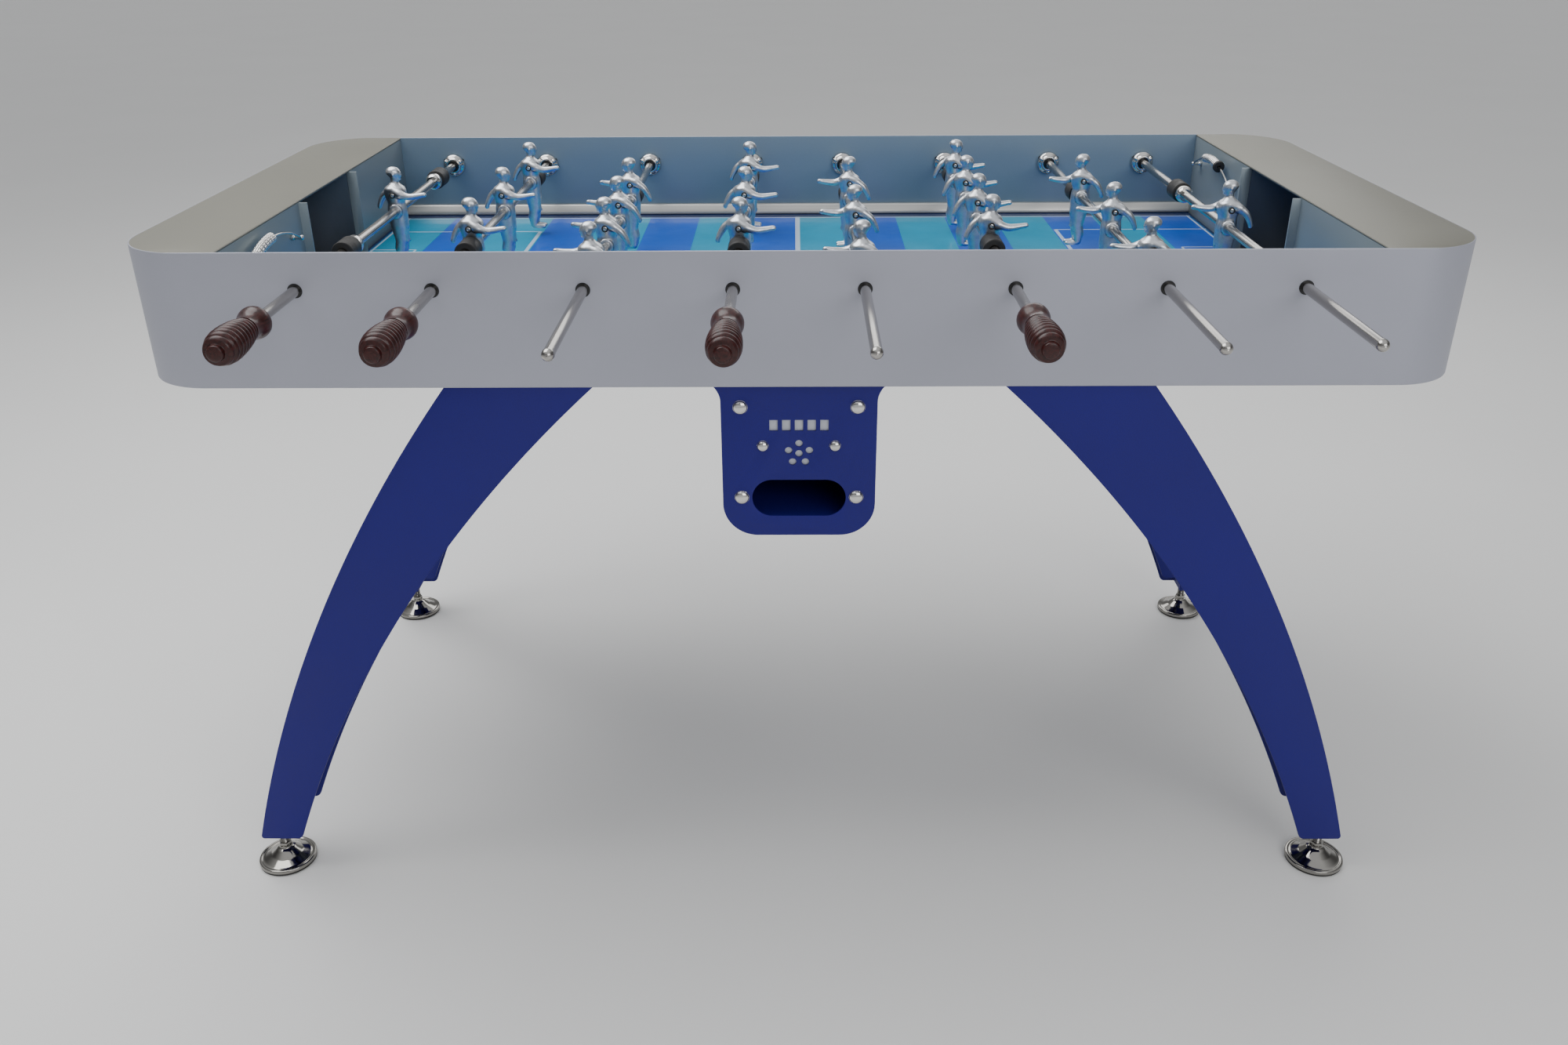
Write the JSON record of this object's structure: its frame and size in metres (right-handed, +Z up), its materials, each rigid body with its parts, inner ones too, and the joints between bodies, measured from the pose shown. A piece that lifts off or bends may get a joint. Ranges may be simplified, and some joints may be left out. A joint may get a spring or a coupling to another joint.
{
  "type": "table football table",
  "caption": "Table-football table: shallow painted steel tub on curved twin-blade legs, with sliding, turning rods of cast players, turned wood handles, goals and score beads.",
  "frame": {"origin": "on the floor, under the middle of the tub", "axes": "+X along the table from the home goal to the away goal, +Y across it along the rods away from the ball pocket, +Z up"},
  "size_m": [1.54, 1.157, 0.889],
  "materials": {
    "shell_paint": "satin blue-grey paint",
    "deck_paint": "satin warm grey paint",
    "wall_paint": "satin blue-grey paint",
    "dark_sheet": "dark grey paint",
    "pitch_glass": "glass over a blue and cyan printed pitch",
    "board": "dark blue laminate",
    "rail": "satin light grey",
    "bright_metal": "polished",
    "rod_steel": "polished steel",
    "leg_paint": "navy textured powder coat",
    "pocket_paint": "navy textured powder coat",
    "cast_player": "bright tumbled casting",
    "handle_wood": "dark red-brown varnish",
    "bumper_rubber": "black",
    "sleeve_plastic": "black",
    "foot_chrome": "polished",
    "bead_chrome": "knurled, polished"
  },
  "bodies": {
    "cabinet": {"side_shell": "shell_paint", "end_decks": "deck_paint", "end_walls": "wall_paint", "goal_boxes": "dark_sheet", "playfield_glass": "pitch_glass", "playfield_board": "board", "field_rails": "rail", "bearing_housings": "bright_metal", "bearing_nuts": "bright_metal", "pocket_plate": "pocket_paint", "pocket_box": "pocket_paint", "pocket_bolts": "bright_metal", "legs": "leg_paint", "score_wires": "bright_metal"},
    "beads_left": {"score_beads_left": "bead_chrome"},
    "beads_right": {"score_beads_right": "bead_chrome"},
    "foot_fl": {"foot_front_left": "foot_chrome"},
    "foot_fr": {"foot_front_right": "foot_chrome"},
    "foot_rl": {"foot_rear_left": "foot_chrome"},
    "foot_rr": {"foot_rear_right": "foot_chrome"},
    "sleeve_1": {"sleeves_1": "sleeve_plastic"},
    "player_rod_1": {"rod_1": "rod_steel", "players_1": "cast_player", "handle_1": "handle_wood", "bumpers_1": "bumper_rubber"},
    "sleeve_2": {"sleeves_2": "sleeve_plastic"},
    "player_rod_2": {"rod_2": "rod_steel", "players_2": "cast_player", "handle_2": "handle_wood", "bumpers_2": "bumper_rubber"},
    "sleeve_3": {"sleeves_3": "sleeve_plastic"},
    "player_rod_3": {"rod_3": "rod_steel", "players_3": "cast_player", "handle_3": "handle_wood", "bumpers_3": "bumper_rubber"},
    "sleeve_4": {"sleeves_4": "sleeve_plastic"},
    "player_rod_4": {"rod_4": "rod_steel", "players_4": "cast_player", "handle_4": "handle_wood", "bumpers_4": "bumper_rubber"},
    "sleeve_5": {"sleeves_5": "sleeve_plastic"},
    "player_rod_5": {"rod_5": "rod_steel", "players_5": "cast_player", "handle_5": "handle_wood", "bumpers_5": "bumper_rubber"},
    "sleeve_6": {"sleeves_6": "sleeve_plastic"},
    "player_rod_6": {"rod_6": "rod_steel", "players_6": "cast_player", "handle_6": "handle_wood", "bumpers_6": "bumper_rubber"},
    "sleeve_7": {"sleeves_7": "sleeve_plastic"},
    "player_rod_7": {"rod_7": "rod_steel", "players_7": "cast_player", "handle_7": "handle_wood", "bumpers_7": "bumper_rubber"},
    "sleeve_8": {"sleeves_8": "sleeve_plastic"},
    "player_rod_8": {"rod_8": "rod_steel", "players_8": "cast_player", "handle_8": "handle_wood", "bumpers_8": "bumper_rubber"}
  },
  "joints": [
    {"name": "rod_1_spin", "type": "hinge", "parent": "cabinet", "child": "sleeve_1", "pos_m": [-0.5615, 0, 0.829], "axis": [0, 1, 0], "continuous": true},
    {"name": "rod_1_slide", "type": "slide", "parent": "sleeve_1", "child": "player_rod_1", "axis": [0, 1, 0], "range_m": [-0.149, 0.079]},
    {"name": "rod_2_spin", "type": "hinge", "parent": "cabinet", "child": "sleeve_2", "pos_m": [-0.40877, 0, 0.829], "axis": [0, 1, 0], "continuous": true},
    {"name": "rod_2_slide", "type": "slide", "parent": "sleeve_2", "child": "player_rod_2", "axis": [0, 1, 0], "range_m": [-0.144, 0.084]},
    {"name": "rod_3_spin", "type": "hinge", "parent": "cabinet", "child": "sleeve_3", "pos_m": [-0.24032, 0, 0.829], "axis": [0, 1, 0], "continuous": true},
    {"name": "rod_3_slide", "type": "slide", "parent": "sleeve_3", "child": "player_rod_3", "axis": [0, 1, 0], "range_m": [-0.011, 0.217]},
    {"name": "rod_4_spin", "type": "hinge", "parent": "cabinet", "child": "sleeve_4", "pos_m": [-0.07356, 0, 0.829], "axis": [0, 1, 0], "continuous": true},
    {"name": "rod_4_slide", "type": "slide", "parent": "sleeve_4", "child": "player_rod_4", "axis": [0, 1, 0], "range_m": [-0.141, 0.087]},
    {"name": "rod_5_spin", "type": "hinge", "parent": "cabinet", "child": "sleeve_5", "pos_m": [0.07356, 0, 0.829], "axis": [0, 1, 0], "continuous": true},
    {"name": "rod_5_slide", "type": "slide", "parent": "sleeve_5", "child": "player_rod_5", "axis": [0, 1, 0], "range_m": [-0.014, 0.214]},
    {"name": "rod_6_spin", "type": "hinge", "parent": "cabinet", "child": "sleeve_6", "pos_m": [0.24032, 0, 0.829], "axis": [0, 1, 0], "continuous": true},
    {"name": "rod_6_slide", "type": "slide", "parent": "sleeve_6", "child": "player_rod_6", "axis": [0, 1, 0], "range_m": [-0.151, 0.077]},
    {"name": "rod_7_spin", "type": "hinge", "parent": "cabinet", "child": "sleeve_7", "pos_m": [0.40877, 0, 0.829], "axis": [0, 1, 0], "continuous": true},
    {"name": "rod_7_slide", "type": "slide", "parent": "sleeve_7", "child": "player_rod_7", "axis": [0, 1, 0], "range_m": [-0.024, 0.204]},
    {"name": "rod_8_spin", "type": "hinge", "parent": "cabinet", "child": "sleeve_8", "pos_m": [0.5615, 0, 0.829], "axis": [0, 1, 0], "continuous": true},
    {"name": "rod_8_slide", "type": "slide", "parent": "sleeve_8", "child": "player_rod_8", "axis": [0, 1, 0], "range_m": [-0.032, 0.196]},
    {"name": "foot_fl_turn", "type": "hinge", "parent": "cabinet", "child": "foot_fl", "pos_m": [-0.723, -0.3507, 0.05], "axis": [0, 0, 1], "continuous": true},
    {"name": "foot_fr_turn", "type": "hinge", "parent": "cabinet", "child": "foot_fr", "pos_m": [0.723, -0.3507, 0.05], "axis": [0, 0, 1], "continuous": true},
    {"name": "foot_rl_turn", "type": "hinge", "parent": "cabinet", "child": "foot_rl", "pos_m": [-0.723, 0.3507, 0.05], "axis": [0, 0, 1], "continuous": true},
    {"name": "foot_rr_turn", "type": "hinge", "parent": "cabinet", "child": "foot_rr", "pos_m": [0.723, 0.3507, 0.05], "axis": [0, 0, 1], "continuous": true},
    {"name": "beads_left_slide", "type": "hinge", "parent": "cabinet", "child": "beads_left", "pos_m": [-0.633, -0.2375, 0.6568], "axis": [-1, 0, 0], "range_deg": [-5, 26]},
    {"name": "beads_right_slide", "type": "hinge", "parent": "cabinet", "child": "beads_right", "pos_m": [0.633, 0.2375, 0.6568], "axis": [-1, 0, 0], "range_deg": [-14.5, 16.5]}
  ]
}
